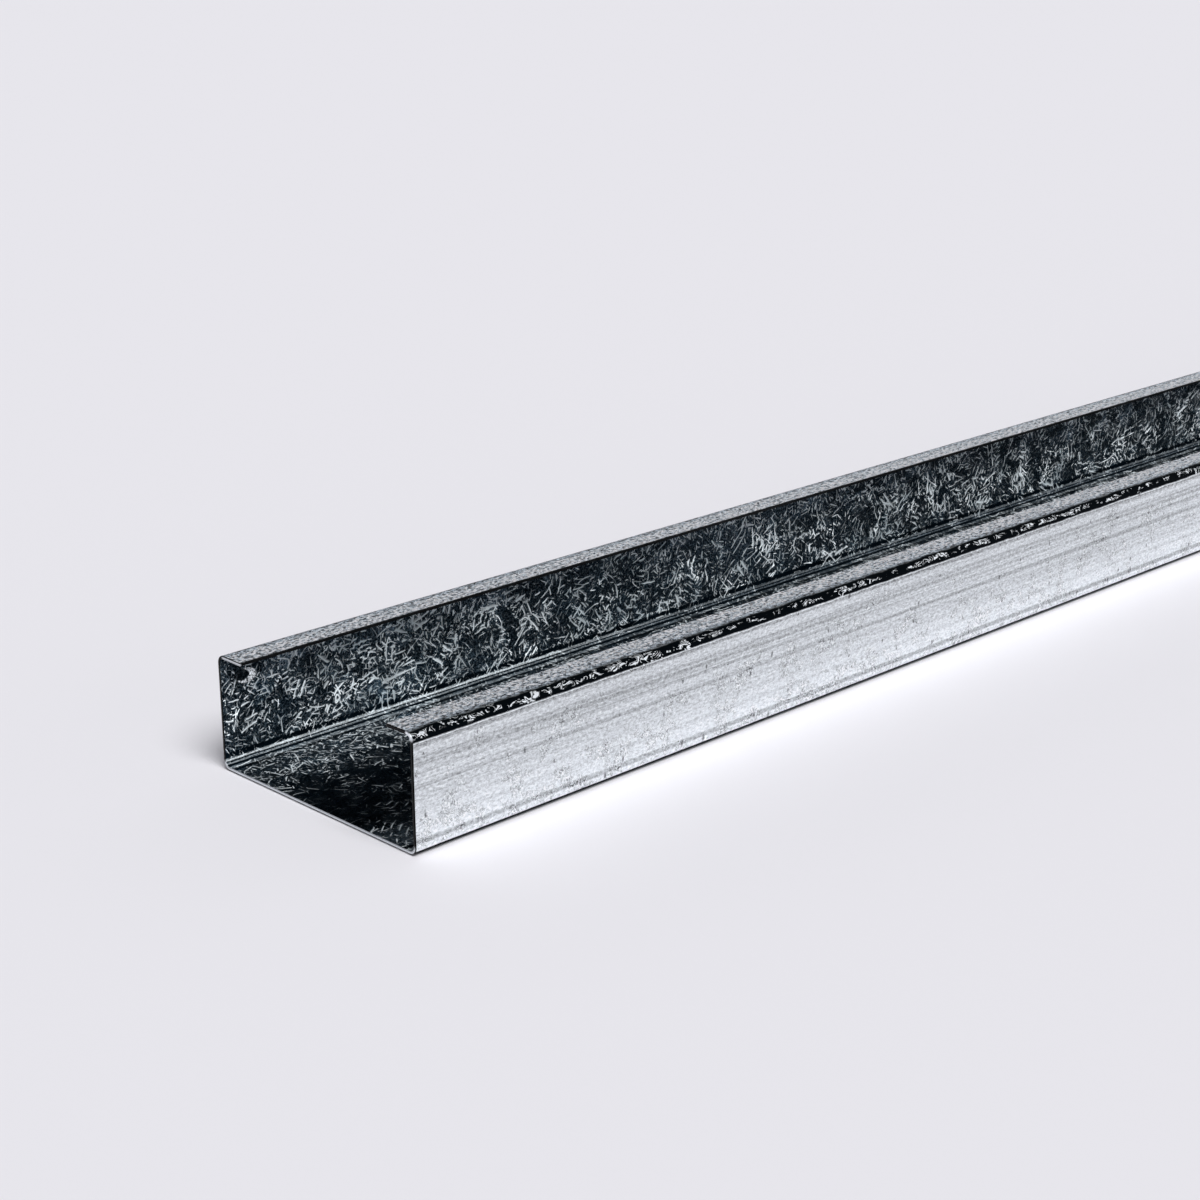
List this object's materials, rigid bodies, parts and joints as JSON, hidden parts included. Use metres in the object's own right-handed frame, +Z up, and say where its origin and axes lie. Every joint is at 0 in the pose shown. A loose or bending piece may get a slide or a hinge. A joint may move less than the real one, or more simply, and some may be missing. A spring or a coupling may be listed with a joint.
{
  "type": "steel stud",
  "caption": "Roll-formed galvanised steel C-shaped wall stud with inturned stiffening lips and round-ended service slots along its web.",
  "frame": {"origin": "middle of the outside of the web, on the floor that the stud lies on", "axes": "+X along the stud, +Y across the web from one flange to the other, +Z up from the web to the open side"},
  "size_m": [2.4384, 0.1016, 0.0413],
  "materials": {
    "galvanised_steel": "hot-dip zinc with a small bright spangle, dull where it was rolled, bare bright steel at the sheared ends"
  },
  "bodies": {
    "root": {"stud": "galvanised_steel"}
  },
  "joints": []
}
